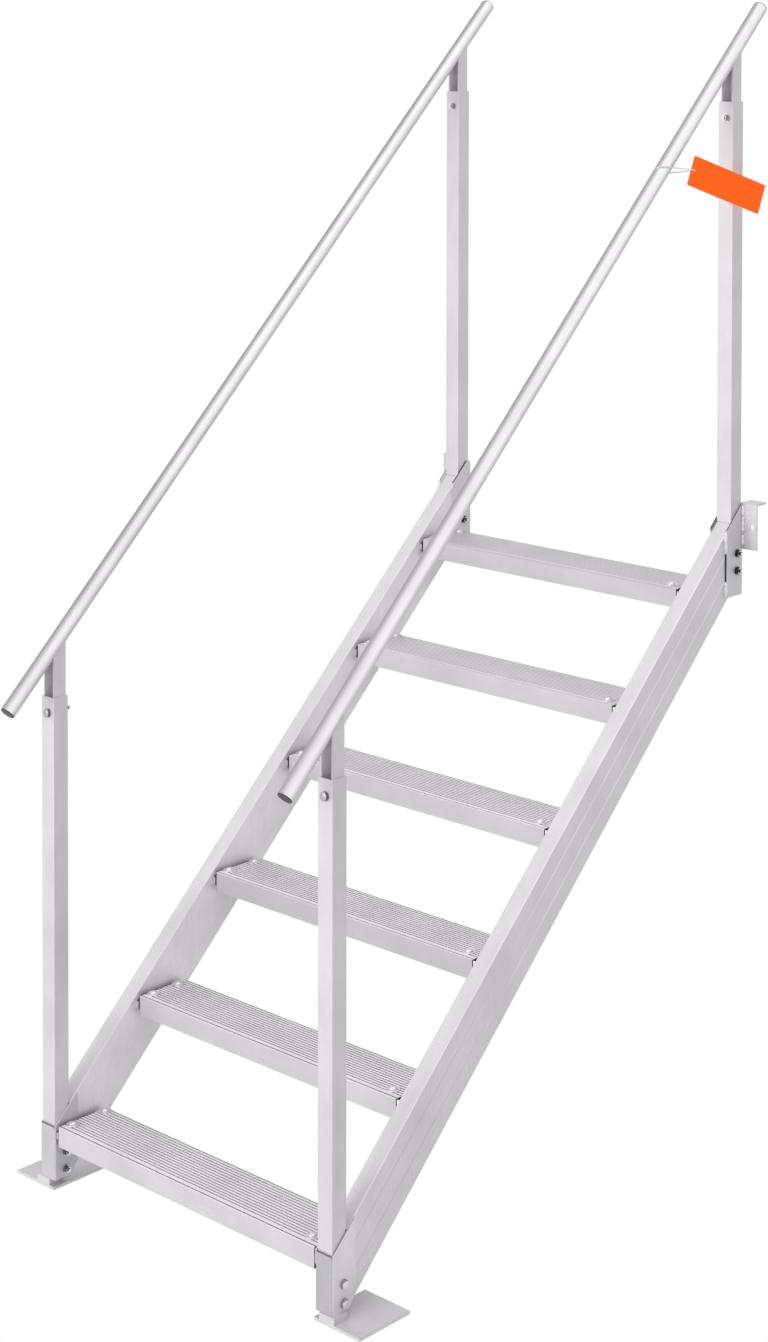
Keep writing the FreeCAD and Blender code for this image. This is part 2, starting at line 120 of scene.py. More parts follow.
def ranged(tree, value, middle, spread, start=0.3, end=0.7):
    """Brings a value that runs from start to end to middle, give or take spread."""
    node = tree.nodes.new("ShaderNodeMapRange")
    node.inputs["From Min"].default_value = start
    node.inputs["From Max"].default_value = end
    node.inputs["To Min"].default_value = middle - spread
    node.inputs["To Max"].default_value = middle + spread
    tree.links.new(value, node.inputs["Value"])
    return node.outputs["Result"]


def tinted(tree, shader, colour, level):
    """Gives a shader one colour that is lighter and darker by level."""
    node = tree.nodes.new("ShaderNodeVectorMath")
    node.operation = "SCALE"
    node.inputs[0].default_value = colour
    tree.links.new(level, node.inputs["Scale"])
    tree.links.new(node.outputs["Vector"], shader.inputs["Base Color"])


class Place:
    """A surface point's own place in the drawing frame, in millimetres, and sums
    on it, for marks that lie along the metal."""

    def __init__(self, tree, point):
        self.tree = tree
        self.point = point
        drawn = mapped(tree, point, location=ROW_ORIGIN, scale=(1000, 1000, 1000))
        parts = tree.nodes.new("ShaderNodeSeparateXYZ")
        tree.links.new(drawn, parts.inputs["Vector"])
        self.x, self.y, self.z = parts.outputs

    def math(self, operation, first, second=0.0, third=0.0):
        node = self.tree.nodes.new("ShaderNodeMath")
        node.operation = operation
        for socket, value in zip(node.inputs, (first, second, third)):
            if isinstance(value, bpy.types.NodeSocket):
                self.tree.links.new(value, socket)
            else:
                socket.default_value = value
        return node.outputs["Value"]

    def times(self, first, *others):
        """The product of several values."""
        product = first
        for other in others:
            product = self.math("MULTIPLY", product, other)
        return product

    def linear(self, value, slope, start):
        """A value times slope, plus start."""
        return self.math("MULTIPLY_ADD", value, slope, start)

    def limited(self, value, low, high):
        return self.math("MINIMUM", self.math("MAXIMUM", value, low), high)

    def over(self, value, limit):
        """1 where a value is more than a limit."""
        return self.math("GREATER_THAN", value, limit)

    def under(self, value, limit):
        """1 where a value is less than a limit."""
        return self.math("LESS_THAN", value, limit)

    def near(self, value, centre, reach):
        """1 where a value is within reach of a centre."""
        return self.math("COMPARE", value, centre, reach)

    def either(self, first, second):
        """1 where one mask or the other is 1."""
        return self.math("MAXIMUM", first, second)

    def factor(self, mask, inside):
        """1 outside a mask, and inside where it is 1."""
        return self.linear(mask, inside - 1.0, 1.0)

    def from_middle(self):
        """The distance to one side from the stair's middle plane."""
        return self.math("ABSOLUTE", self.x)

    def from_post(self):
        """The distance to one side from the middle plane of the nearest posts."""
        return self.math("ABSOLUTE", self.math("SUBTRACT", self.from_middle(), POST_X))

    def above_stringer(self):
        """The height over the line of the stringers' tops."""
        return self.linear(self.y, -SLOPE, self.z)

    def facing(self):
        """The parts of the direction that a point of the surface faces."""
        surface = self.tree.nodes.new("ShaderNodeNewGeometry")
        parts = self.tree.nodes.new("ShaderNodeSeparateXYZ")
        self.tree.links.new(surface.outputs["Normal"], parts.inputs["Vector"])
        return parts.outputs

    def scratches(self, turn, contrast):
        """Fine straight marks in the Y-Z plane, at an angle to the metal's grain."""
        along = mapped(self.tree, self.point, rotation=(-turn, 0, 0))
        marks = noise(self.tree, mapped(self.tree, along, scale=(300, 20, 520)), 1.0, 2)
        marks = self.limited(self.linear(marks, 5.0, -2.5), -1.0, 1.0)
        return self.linear(marks, contrast, 1.0)


ROUGHNESS_SPREAD = 0.06
# how far the grain's relief rises, in metres
GRAIN_RISE = 0.0004


def metal(name, colour, roughness, stretch, contrast, bump, turn=0.0, cloud=0.05,
          metallic=0.32, shades=(), bare=None):
    """Aluminium or steel with a fine grain and broad soft clouds. stretch is how
    often the grain changes in a metre along X, Y and Z, and turn its angle in the
    Y-Z plane. Each of shades builds one more factor of the colour, and bare a mask
    of the parts that don't shine as metal."""
    mat, tree, shader = node_material(name)
    point = tree.nodes.new("ShaderNodeTexCoord").outputs["Object"]
    along = mapped(tree, point, rotation=(-turn, 0, 0))
    fine = noise(tree, mapped(tree, along, scale=stretch), 1.0, 4, 0.65)
    broad = noise(tree, point, 9, 3)
    place = Place(tree, point)
    level = place.times(ranged(tree, fine, 1, contrast), ranged(tree, broad, 1, cloud),
                        *[shade(place) for shade in shades])
    tinted(tree, shader, colour, level)
    shader.inputs["Metallic"].default_value = metallic
    if bare:
        tree.links.new(place.linear(bare(place), -metallic, metallic), shader.inputs["Metallic"])
    dulling = ranged(tree, fine, roughness, ROUGHNESS_SPREAD)
    tree.links.new(dulling, shader.inputs["Roughness"])
    relief = tree.nodes.new("ShaderNodeBump")
    relief.inputs["Strength"].default_value = bump
    relief.inputs["Distance"].default_value = GRAIN_RISE
    tree.links.new(fine, relief.inputs["Height"])
    tree.links.new(relief.outputs["Normal"], shader.inputs["Normal"])
    return mat


def plastic(name, colour, roughness, contrast=0.05):
    mat, tree, shader = node_material(name)
    point = tree.nodes.new("ShaderNodeTexCoord").outputs["Object"]
    specks = ranged(tree, noise(tree, point, 60, 3), 1, contrast, start=0.0, end=1.0)
    tinted(tree, shader, colour, specks)
    shader.inputs["Roughness"].default_value = roughness
    return mat


# shades of the stringers and posts

# the two painted highlight lines along the grooves: how far down the outer face
# they lie, as shares of its upright depth, half their height, the y at which they
# begin to grow clear, and the length over which they do
LINE_SHARES = (0.323, 0.671)
LINE_HALF = 1.7
LINE_FADE_START, LINE_FADE = 350, 300

# the middle of the unwelded length of an outer side plate's front edge, and half of it
SLOT_Y, SLOT_Z, SLOT_HALF = BACK_Y - 20, 1074, 30


def stringer_line_highlights(place):
    """Painted highlights: thin light lines along the grooves of the stringers' outer
    faces, faint at the foot.
    """
    height = place.above_stringer()
    upper, lower = (place.near(height, -share * UPRIGHT_DEPTH, LINE_HALF)
                    for share in LINE_SHARES)
    outer = place.over(place.from_middle(), POST_X)
    lines = place.times(place.either(upper, lower), outer)
    clear = place.math("DIVIDE", place.math("SUBTRACT", place.y, LINE_FADE_START), LINE_FADE)
    bright = place.linear(place.limited(clear, 0.0, 1.0), 0.33, 0.04)
    return place.linear(lines, bright, 1.0)


def stringer_scratches_and_sheen(place):
    """Crossed scratches, and painted light: a highlight along the upper outer edge and
    lighter inner faces.
    """
    inner = place.under(place.from_middle(), POST_X - POST_HALF + 0.8)
    edge_highlight = place.times(place.near(place.from_middle(), POST_X + POST_HALF - 0.4, 1.0),
                       place.near(place.above_stringer(), -1.0, 1.8))
    return place.times(place.scratches(UPHILL + math.radians(52), 0.035),
                       place.factor(inner, 1.11), place.factor(edge_highlight, 1.18))


def stringer_slot_shade(place):
    """Painted shade: the dark slot on a stringer's outer face in front of its side
    plate, where the gap lies in shade.
    """
    slot = place.times(place.over(place.from_middle(), POST_X),
                       place.near(place.y, SLOT_Y, 1.5), place.near(place.z, SLOT_Z, SLOT_HALF))
    return place.factor(slot, 0.05)


def post_shade(place):
    """Painted shade: a thin dark seam where a post stands on the stringer, and a dark
    back corner.
    """
    height = place.above_stringer()
    corner = place.times(place.under(height, 4.5), place.near(place.y, POST_SIDE - 1, 2.2))
    return place.times(place.factor(place.under(height, 1.3), 0.55), place.factor(corner, 0.06))


def stub_depth(place):
    """How far behind the middle of its post a point of a sliding channel lies."""
    back = place.over(place.y, BACK_Y / 2)
    return place.math("SUBTRACT", place.y, place.linear(back, BACK_Y, POST_HALF))


def stub_inside(place):
    """1 on the inner faces of the sliding channels."""
    inner = STUB_INNER + 0.3
    return place.times(place.under(place.from_post(), inner),
                       place.under(stub_depth(place), inner))


def stub_painted_light(place):
    """Painted light on the channels' inner faces: lighter than the rest, most of all
    towards their open front.
    """
    deeper = place.linear(stub_depth(place), -0.005, 0.28)
    return place.linear(stub_inside(place), deeper, 1.0)


def rail_sheen(side, streak, shading):
    """Painted highlight: a lighter band along a handrail's right flank; and painted
    shade: a darker one on its left.
    """
    def shade(place):
        out = place.math("DIVIDE", place.math("SUBTRACT", place.x, side * POST_X), RAIL_RADIUS)
        rise = place.math("SUBTRACT", place.linear(place.y, -RAIL_SLOPE, place.z), rail_height(0))
        upright_radius = RAIL_RADIUS * math.sqrt(1 + RAIL_SLOPE * RAIL_SLOPE)
        rise = place.math("DIVIDE", rise, upright_radius)

        def towards(degrees, power):
            """1 on the rail's line that faces this way, falling off to its sides."""
            angle = math.radians(degrees)
            both = place.linear(rise, math.sin(angle), place.times(out, math.cos(angle)))
            return place.math("POWER", place.math("MAXIMUM", both, 0.0), power)
        return place.times(place.linear(towards(22, 9.0), streak, 1.0),
                           place.linear(towards(112, 3.0), -shading, 1.0))
    return shade


# shades of the treads and their cleats

# how much lighter or darker each tread's front and top are made
TREAD_FRONTS = (1.0, 1.0, 0.87, 0.92, 0.95, 0.90)
TREAD_TOPS = (1.02, 1.0, 1.0, 1.02, 1.0, 0.88)
# how far behind a tread's front its nose's groove and the first of the others lie
NOSE_GROOVE, NOSE_GROOVE_HALF = 4.6, 1.8
FIRST_GROOVE, GROOVE_PITCH, GROOVE_HALF = 17.5, 8.3, 1.7
TREAD_HALF = 368
# the stretch of a tread's ends, under its top, where their painted shade is lighter
END_LIGHT, END_LIGHT_HALF = 21, 8


def tread_shade(number):
    """Painted shade in the grooves of a tread's top and at its ends, painted light on
    the lands of its top, and its tones on top and in front."""
    front, top = tread_front(number)

    def shade(place):
        steps = place.math("SUBTRACT", place.y, front + FIRST_GROOVE)
        steps = place.math("DIVIDE", steps, GROOVE_PITCH)
        off = place.math("PINGPONG", steps, 0.5)
        grooves = place.times(place.under(off, GROOVE_HALF / GROOVE_PITCH),
                              place.over(steps, -0.4))
        nose = place.near(place.y, front + NOSE_GROOVE, NOSE_GROOVE_HALF)
        high = place.near(place.z, top, 2.6)
        grooves = place.times(place.either(grooves, nose), high)
        lit_land = place.over(place.z, top - 0.2)
        face = place.under(place.y, front + 0.4)
        end = place.over(place.from_middle(), TREAD_HALF - 0.2)
        lighter = place.near(place.z, top - END_LIGHT, END_LIGHT_HALF)
        end_shade = place.times(end, place.linear(lighter, -0.5, 0.95))
        # painted shade in the grooves and at the ends, painted light on the lands
        return place.times(place.factor(grooves, 0.74), place.factor(lit_land, 1.45),
                           place.factor(high, TREAD_TOPS[number - 1]),
                           place.factor(face, TREAD_FRONTS[number - 1]),
                           place.math("SUBTRACT", 1.0, end_shade))
    return shade


def cleat_shade(number):
    """The cleats are shaded in the narrow gap, but for the middle of their front edges."""
    front, top = tread_front(number)

    def shade(place):
        lit = place.times(place.under(place.y, front + 2.2),
                          place.near(place.z, top - END_LIGHT, END_LIGHT_HALF))
        return place.linear(lit, 0.92, 0.08)
    return shade


# shades of the plates

def bracket_shade(side, short_seam, front_shade, right_shade):
    """Painted shade: a foot bracket's front face and right flank darker than the rest,
    a dark lip on its front wall and the dark seam at its top. A short seam ends at
    the post's front face."""
    def shade(place):
        front = place.under(place.y, -PLATE_WALL + 1.8)
        right = place.over(place.x, side * POST_X + BRACKET_OUT - 0.4)
        rim = place.times(place.under(place.from_post(), POST_HALF + 1.75),
                          place.over(place.above_stringer(), -2.6))
        lip = place.times(rim, place.near(place.y, -2.2, 0.7))
        seam = place.times(rim, place.over(place.y, -1.5))
        if short_seam:
            seam = place.times(seam, place.under(place.y, 0.2))
        return place.times(place.factor(front, front_shade), place.factor(right, right_shade),
                           place.factor(lip, 0.40), place.factor(seam, 0.06))
    return shade


def side_plate_shade(place):
    """Painted shade in the dark seams at the side plates' top edges and between their
    front welds, and on the upper part of the right inner plate."""
    height = place.above_stringer()
    front = place.times(place.under(place.y, SLOT_Y + 0.3),
                        place.near(place.z, SLOT_Z, SLOT_HALF))
    seam = place.either(place.over(height, 6.7), front)
    inner = place.near(place.x, POST_X - POST_HALF - PLATE_WALL / 2, 2.2)
    shaded_upper = place.times(inner, place.over(height, 0.4))
    return place.times(place.factor(seam, 0.05), place.factor(shaded_upper, 0.45))


# shades of the bolts and nuts

def steel_shaded_flanks(place):
    """Painted shade on bolt heads and nuts on the posts: darker on their right flanks."""
    return place.factor(place.over(place.facing()["X"], 0.45), 0.34)


def steel_shaded_sides(place):
    """Painted shade on the nuts at the dock: dark all round, and bright at their ends."""
    return place.factor(place.under(place.facing()["X"], 0.8), 0.07)


def steel_shaded_tops(level):
    """Painted shade on steel: darker on top and in front."""
    def shade(place):
        way = place.facing()
        return place.factor(place.either(place.over(way["Z"], 0.25),
                                         place.under(way["Y"], -0.55)), level)
    return shade


# materials

ALU = (0.688, 0.672, 0.690)
ALU_STRINGER = (0.732, 0.716, 0.738)
ALU_PLATE = (0.68, 0.666, 0.69)
ALU_TREAD = (0.65, 0.636, 0.652)
ALU_RAIL = (0.63, 0.616, 0.632)
ALU_BRACKET = (0.78, 0.765, 0.79)
STEEL = (0.66, 0.655, 0.665)


def upright(name, **more):
    """The drawn aluminium of the posts and the channels in them."""
    return metal(name, ALU, 0.46, (500, 500, 12), 0.03, 0.02, **more)


def rail(name, side, streak, shading):
    """A handrail's aluminium, with its painted highlight band and its painted shade."""
    return metal(name, ALU_RAIL, 0.48, (420, 9, 420), 0.03, 0.02, turn=ALONG_RAIL, metallic=0.45,
                 shades=(rail_sheen(side, streak, shading),))


def plate(name, colour, **more):
    """The rolled aluminium of the plates and brackets."""
    return metal(name, colour, 0.46, (240, 240, 240), 0.04, 0.05, cloud=0.06, **more)


def weld(name, colour, roughness, bump):
    """The rough aluminium of the beads."""
    return metal(name, colour, roughness, (300, 300, 300), 0.10, bump)


def steel(name, colour, roughness, metallic=1.0, contrast=0.05, bump=0.03, shades=()):
    """The bright steel of bolts and nuts."""
    return metal(name, colour, roughness, (300, 300, 300), contrast, bump, metallic=metallic,
                 shades=shades)


def tread_metal(number):
    return metal(f"alu_tread_{number}", ALU_TREAD, 0.50, (8, 160, 160), 0.02, 0.0,
                 shades=(tread_shade(number),))


def cleat_metal(number):
    return metal(f"alu_cleat_{number}", ALU, 0.42, (240, 240, 240), 0.03, 0.03,
                 shades=(cleat_shade(number),))


def glowing_card(name, colour, glow, strength):
    """Inked card with a painted glow, which gives off a little light of its own."""
    mat = plastic(name, colour, roughness=0.50, contrast=0.02)
    shader = mat.node_tree.nodes["Principled BSDF"]
    shader.inputs["Specular IOR Level"].default_value = 0.2
    shader.inputs["Emission Color"].default_value = (*glow, 1)
    shader.inputs["Emission Strength"].default_value = strength
    return mat


alu_stringer = metal("alu_stringer", ALU_STRINGER, 0.46, (600, 14, 600), 0.05, 0.03, turn=UPHILL,
                     shades=(stringer_line_highlights, stringer_scratches_and_sheen, stringer_slot_shade))
alu_post = upright("alu_post", shades=(post_shade,))
alu_stub = upright("alu_stub", shades=(stub_painted_light,), bare=stub_inside)
# each rail's painted highlight band and painted shade
alu_rail_right = rail("alu_rail_right", 1, 0.50, 0.42)
alu_rail_left = rail("alu_rail_left", -1, 0.42, 0.50)
alu_bracket_right = plate("alu_bracket_right", ALU_BRACKET,
                          shades=(bracket_shade(1, False, 0.62, 1.0),))
alu_bracket_left = plate("alu_bracket_left", ALU_BRACKET,
                         shades=(bracket_shade(-1, True, 0.76, 0.77),))
alu_side_plate = plate("alu_side_plate", ALU_PLATE, shades=(side_plate_shade,))
alu_plate = plate("alu_plate", ALU_PLATE)
weld_alu = weld("weld_alu", (0.80, 0.79, 0.80), 0.40, 0.25)
weld_dull = weld("weld_dull", (0.56, 0.55, 0.56), 0.55, 0.20)
bolt_steel = steel("bolt_steel", STEEL, 0.30)
head_steel = steel("head_steel", (0.46, 0.455, 0.465), 0.42, metallic=0.7,
                   shades=(steel_shaded_flanks,))
tread_bolt_steel = steel("tread_bolt_steel", (0.70, 0.69, 0.70), 0.46, metallic=0.7)
foot_nut_steel = steel("foot_nut_steel", STEEL, 0.30, shades=(steel_shaded_tops(0.28),))
foot_head_steel = steel("foot_head_steel", (0.76, 0.755, 0.765), 0.40, metallic=0.7,
                        shades=(steel_shaded_tops(0.36),))
nut_pale = steel("nut_pale", (0.78, 0.775, 0.785), 0.25, shades=(steel_shaded_flanks,))
nut_steel = steel("nut_steel", (0.34, 0.34, 0.35), 0.26, contrast=0.08, bump=0.05)
dock_nut_steel = steel("dock_nut_steel", (0.58, 0.58, 0.59), 0.26, contrast=0.08, bump=0.05,
                       shades=(steel_shaded_sides,))
plug_black = plastic("plug_black", (0.03, 0.03, 0.032), 0.45)
tag_orange = glowing_card("tag_orange", (1.0, 0.125, 0.004), (1.0, 0.11, 0.002), 0.36)
tie_white = plastic("tie_white", (0.80, 0.80, 0.80), 0.35, 0.02)

# the first of these words that a node's name holds gives its material
BY_NAME = [
    ("stringer", alu_stringer), ("front_post", alu_post), ("back_post", alu_post),
    ("stub", alu_stub), ("handrail_right", alu_rail_right),
    ("handrail_left", alu_rail_left), ("plug", plug_black),
    ("foot_bracket_right", alu_bracket_right), ("foot_bracket_left", alu_bracket_left),
    ("side_plate", alu_side_plate),
]
for number in range(1, TREADS + 1):
    BY_NAME.append((f"tread_{number}", tread_metal(number)))
    BY_NAME.append((f"cleat_{number}", cleat_metal(number)))
BY_NAME.append(("", alu_plate))
for name, node in nodes.items():
    look = next(mat for word, mat in BY_NAME if word in name)
    node.data.materials.clear()
    node.data.materials.append(look)


# building blocks of the pieces

def finish_piece(name, bm, mat, smooth=None):
    """Makes a piece of a mesh in the row's frame and ties it to the stair."""
    bmesh.ops.recalc_face_normals(bm, faces=bm.faces)
    mesh = bpy.data.meshes.new(name)
    bm.to_mesh(mesh)
    bm.free()
    piece = bpy.data.objects.new(name, mesh)
    bpy.context.collection.objects.link(piece)
    mesh.materials.append(mat)
    if smooth is not None:
        for face in mesh.polygons:
            face.use_smooth = True
        mesh.set_sharp_from_angle(angle=math.radians(smooth))
    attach(piece, "root")
    return piece


def around(count):
    """The angles of evenly spaced points round a circle."""
    return [2 * math.pi * k / count for k in range(count)]


def band(bm, low, high):
    """Closes the band between two rings of as many points."""
    for k in range(len(low)):
        nxt = (k + 1) % len(low)
        bm.faces.new((low[k], low[nxt], high[nxt], high[k]))


def turned(bm, profile, centre, axis, flats=None, segments=48):
    """Adds a turned form: profile is (radius, height) in millimetres along the
    axis. With flats, no radius passes a hexagon of that width."""
    spin = axis.to_track_quat("Z", "Y").to_matrix()
    rings = []
    for radius, height in profile:
        if radius == 0:
            rings.append([bm.verts.new(centre + spin @ Vector((0, 0, height)) / 1000)])
            continue
        ring = []
        for angle in around(segments):
            reach = radius
            if flats:
                fold = (angle + math.pi / 6) % (math.pi / 3) - math.pi / 6
                reach = min(radius, flats / 2 / math.cos(fold))
            offset = Vector((reach * math.cos(angle), reach * math.sin(angle), height))
            ring.append(bm.verts.new(centre + spin @ offset / 1000))
        rings.append(ring)
    for low, high in zip(rings, rings[1:]):
        if len(low) == 1 or len(high) == 1:
            tip, ring = (low[0], high) if len(low) == 1 else (high[0], low)
            for k in range(segments):
                bm.faces.new((tip, ring[k], ring[(k + 1) % segments]))
        else:
            band(bm, low, high)


# bolts and nuts

WASHER = 1.6
# a thread's radii at its core, at its crest and at the bolt's bevelled tip
THREAD_CORE, THREAD_CREST, THREAD_TIP = 3.35, 4.0, 3.2
THREAD_PITCH, TIP_RISE = 1.25, 0.6
DOME_STEPS = 8
# the share of a quarter circle that a dome covers before its flat middle
DOME_SHARE = 0.86


def dome_profile(radius, height, skirt):
    """A low domed head with a short upright skirt and a flat middle."""
    points = [(0, 0), (radius, 0), (radius, skirt)]
    for k in range(1, DOME_STEPS + 1):
        angle = 0.5 * math.pi * k / DOME_STEPS * DOME_SHARE
        points.append((radius * math.cos(angle), skirt + (height - skirt) * math.sin(angle)))
    points.append((0, points[-1][1]))
    return points


def washer_profile(radius):
    """A flat washer with bevelled rims."""
    low, high, inset = 0.3, 0.4, 0.5
    return [(0, 0), (radius - low, 0), (radius, low), (radius, WASHER - high),
            (radius - inset, WASHER), (0, WASHER)]


def nut_profile(flats, height):
    """A nut with turned corners and a sunk end round the bolt."""
    corner = flats / 2 / math.cos(math.pi / 6)
    rim = flats / 2 * 0.98
    bevel = 0.9
    mouth, bore = 4.3, 3.6
    sunk = height - 0.8
    return [(0, 0), (rim, 0), (corner, bevel), (corner, height - bevel), (rim, height),
            (mouth, height), (bore, sunk), (0, sunk)]


def thread_profile(start, end):
    """The bolt's end, with its thread as rings."""
    profile = [(0, start)]
    height = start
    while height < end - 1.0:
        profile += [(THREAD_CORE, height),
                    (THREAD_CREST, height + THREAD_PITCH * 0.4),
                    (THREAD_CREST, height + THREAD_PITCH * 0.6),
                    (THREAD_CORE, height + THREAD_PITCH)]
        height += THREAD_PITCH
    return profile + [(THREAD_TIP, height + TIP_RISE), (0, height + TIP_RISE)]


def domed_bolt(name, centre, axis, radius=7.5, height=4.4, washer=0.0, skirt=1.0,
               mat=bolt_steel):
    """A domed bolt head, on a washer of a given radius or without one."""
    bm = bmesh.new()
    seat = centre
    if washer:
        turned(bm, washer_profile(washer), centre, axis)
        seat = centre + axis * WASHER / 1000
    turned(bm, dome_profile(radius, height, skirt), seat, axis)
    return finish_piece(name, bm, mat, smooth=35)


def hex_nut(name, centre, axis, flats=13.0, height=6.5, washer=8.5, stud=4.0, mat=nut_steel):
    """Washer, six-sided nut with turned corners, and the bolt's end."""
    bm = bmesh.new()
    turned(bm, washer_profile(washer), centre, axis)
    seat = centre + axis * WASHER / 1000
    turned(bm, nut_profile(flats, height), seat, axis, flats=flats)
    turned(bm, thread_profile(height - 1.0, height + stud), seat, axis, segments=24)
    return finish_piece(name, bm, mat, smooth=30)


# bolts that hold the sliding channels in the posts
FRONT_BOLT_Z, BACK_BOLT_Z = 851.5, 2054
for side, word in BOTH:
    x = side * POST_X
    domed_bolt(f"post_bolt_front_{word}", at(x, 0, FRONT_BOLT_Z), -Y, radius=9.2, height=7.2,
               skirt=4.8, mat=head_steel)
    hex_nut(f"post_nut_front_{word}", at(x, POST_SIDE, FRONT_BOLT_Z), Y,
            stud=10.0 if side < 0 else 4.0)
    hex_nut(f"post_nut_back_{word}", at(x, BACK_Y, BACK_BOLT_Z), -Y, washer=10.0, stud=3.0,
            mat=nut_pale)
    domed_bolt(f"post_bolt_back_{word}", at(x, BACK_Y + POST_SIDE, BACK_BOLT_Z), Y)

# bolts through the foot brackets: heads outside, nuts inside
FOOT_BOLT_Y = 28
FOOT_BOLT_HEIGHTS = (-61, -97)
for side, word in BOTH:
    for k, z in enumerate(FOOT_BOLT_HEIGHTS):
        domed_bolt(f"foot_bolt_{word}_{k + 1}", at(side * (POST_X + BRACKET_OUT), FOOT_BOLT_Y, z),
                   side * X, radius=9.0, height=6.6, skirt=4.2, mat=foot_head_steel)
        hex_nut(f"foot_nut_{word}_{k + 1}", at(side * (POST_X - BRACKET_OUT), FOOT_BOLT_Y, z),
                -side * X, washer=8.6, stud=3.5, mat=foot_nut_steel)

# bolts through the side plates at the dock: nuts to the right, heads to the left
DOCK_BOLTS = ((1266, 1101), (1265, 1063))
for side, word in BOTH:
    for k, (y, z) in enumerate(DOCK_BOLTS):
        hex_nut(f"dock_nut_{word}_{k + 1}", at(side * POST_X + PLATE_OUT, y, z), X,
                flats=15.0, washer=9.0, stud=3.0, mat=dock_nut_steel)
        domed_bolt(f"dock_bolt_{word}_{k + 1}", at(side * POST_X - PLATE_OUT, y, z), -X)

# bolts that hold each tread's ends to its cleats, measured from the tread's front
TREAD_BOLT_COLUMNS = ((-356.5, "left"), (336, "right"))
FRONT_BOLT = 28
REAR_BOLTS = (115.5, 99.0, 104.0, 110.0, 115.5, 115.5)
for number in range(1, TREADS + 1):
    front, top = tread_front(number)
    for x, word in TREAD_BOLT_COLUMNS:
        for end, behind in (("front", FRONT_BOLT), ("rear", REAR_BOLTS[number - 1])):
            domed_bolt(f"tread_bolt_{number}_{end}_{word}", at(x, front + behind, top), Z,
                       radius=8.0, height=5.2, washer=13.8, mat=tread_bolt_steel)


# weld beads

BEAD_STEP, BEAD_SIDES = 0.45, 12
# how much a bead swells at each ripple and wanders on the way, as shares of its radius,
# and how many radii its ends taper over
BEAD_RIPPLE, BEAD_WANDER, BEAD_TREMBLE = 0.16, 0.11, 0.06
BEAD_TAPER = 1.1


def bead(name, start, end, radius, pitch, seed, mat=weld_alu):
    """A weld bead along a line: overlapping ripples, a little uneven."""
    bm = bmesh.new()
    steps = max(2, int((end - start).length * 1000 / BEAD_STEP))
    line = [start.lerp(end, k / steps) for k in range(steps)] + [end]
    spin = (end - start).to_track_quat("Z", "Y").to_matrix()
    total = (end - start).length * 1000
    rings = []
    for k, spot in enumerate(line):
        run = total * k / steps
        ripple = abs(math.sin(math.pi * (run / pitch + seed)))
        wander = (BEAD_WANDER * math.sin(run * 0.37 + seed * 5)
                  + BEAD_TREMBLE * math.sin(run * 1.13 + seed))
        from_end = min(run, total - run) / (BEAD_TAPER * radius)
        taper = min(1.0, math.sqrt(max(0.02, from_end)))
        size = radius * taper * (0.86 + BEAD_RIPPLE * ripple + wander)
        ring = []
        for angle in around(BEAD_SIDES):
            offset = Vector((size * math.cos(angle), size * math.sin(angle), 0)) / 1000
            ring.append(bm.verts.new(spot + spin @ offset))
        rings.append(ring)
    for low, high in zip(rings, rings[1:]):
        band(bm, low, high)
    bm.faces.new(rings[0])
    bm.faces.new(rings[-1])
    return finish_piece(name, bm, mat, smooth=60)


# the heights between which the beads run, and where: out from the stringer's outer
# face, and along y
PLATE_WELDS = ((1153, 1105), (1044, 1010))
PLATE_WELD_OUT, PLATE_WELD_Y = 1.7, BACK_Y - 20.9
HOOK_WELDS = ((1204, 1180), (1180, 1146), (1140, 1116))
HOOK_WELD_OUT, HOOK_WELD_TOP_Y, HOOK_WELD_FOOT_Y = 6.2, BACK_Y + 36.9, BACK_Y + 36.6
# how far out and down from a rail's axis its beads lie, and half their run along y
RAIL_WELD_OUT, RAIL_WELD_DOWN, RAIL_WELD_HALF = 15.7, 5.8, 15.5


def plate_and_hook_welds(side, word):
    """Beads at an outer side plate's front edge and in the hook's inner corner."""
    face = POST_X + POST_HALF
    edge_x = side * (face + PLATE_WELD_OUT)
    for k, (top, foot) in enumerate(PLATE_WELDS):
        bead(f"plate_weld_{word}_{k + 1}", at(edge_x, PLATE_WELD_Y, top),
             at(edge_x, PLATE_WELD_Y, foot), radius=4.8, pitch=5.0, seed=0.3 + k)
    corner_x = side * (face + HOOK_WELD_OUT)
    for k, (top, foot) in enumerate(HOOK_WELDS):
        bead(f"hook_weld_{word}_{k + 1}", at(corner_x, HOOK_WELD_TOP_Y, top),
             at(corner_x, HOOK_WELD_FOOT_Y, foot), radius=3.9, pitch=4.4, seed=0.7 + k)


def rail_welds(side, word):
    """Beads on both flanks of a handrail where the sliding channels meet it."""
    for post_y, spot in ((POST_HALF, "front"), (BACK_Y + POST_HALF, "back")):
        for flank in (-1, 1):
            x = side * POST_X + flank * RAIL_WELD_OUT
            start, end = (at(x, y, rail_height(y) - RAIL_WELD_DOWN)
                          for y in (post_y - RAIL_WELD_HALF, post_y + RAIL_WELD_HALF))
            bead(f"rail_weld_{spot}_{word}_{'in' if flank * side < 0 else 'out'}", start, end,
                 radius=1.7, pitch=3.2, seed=0.1, mat=weld_dull)


for side, word in BOTH:
    plate_and_hook_welds(side, word)
    rail_welds(side, word)


# hang tag, a plain card

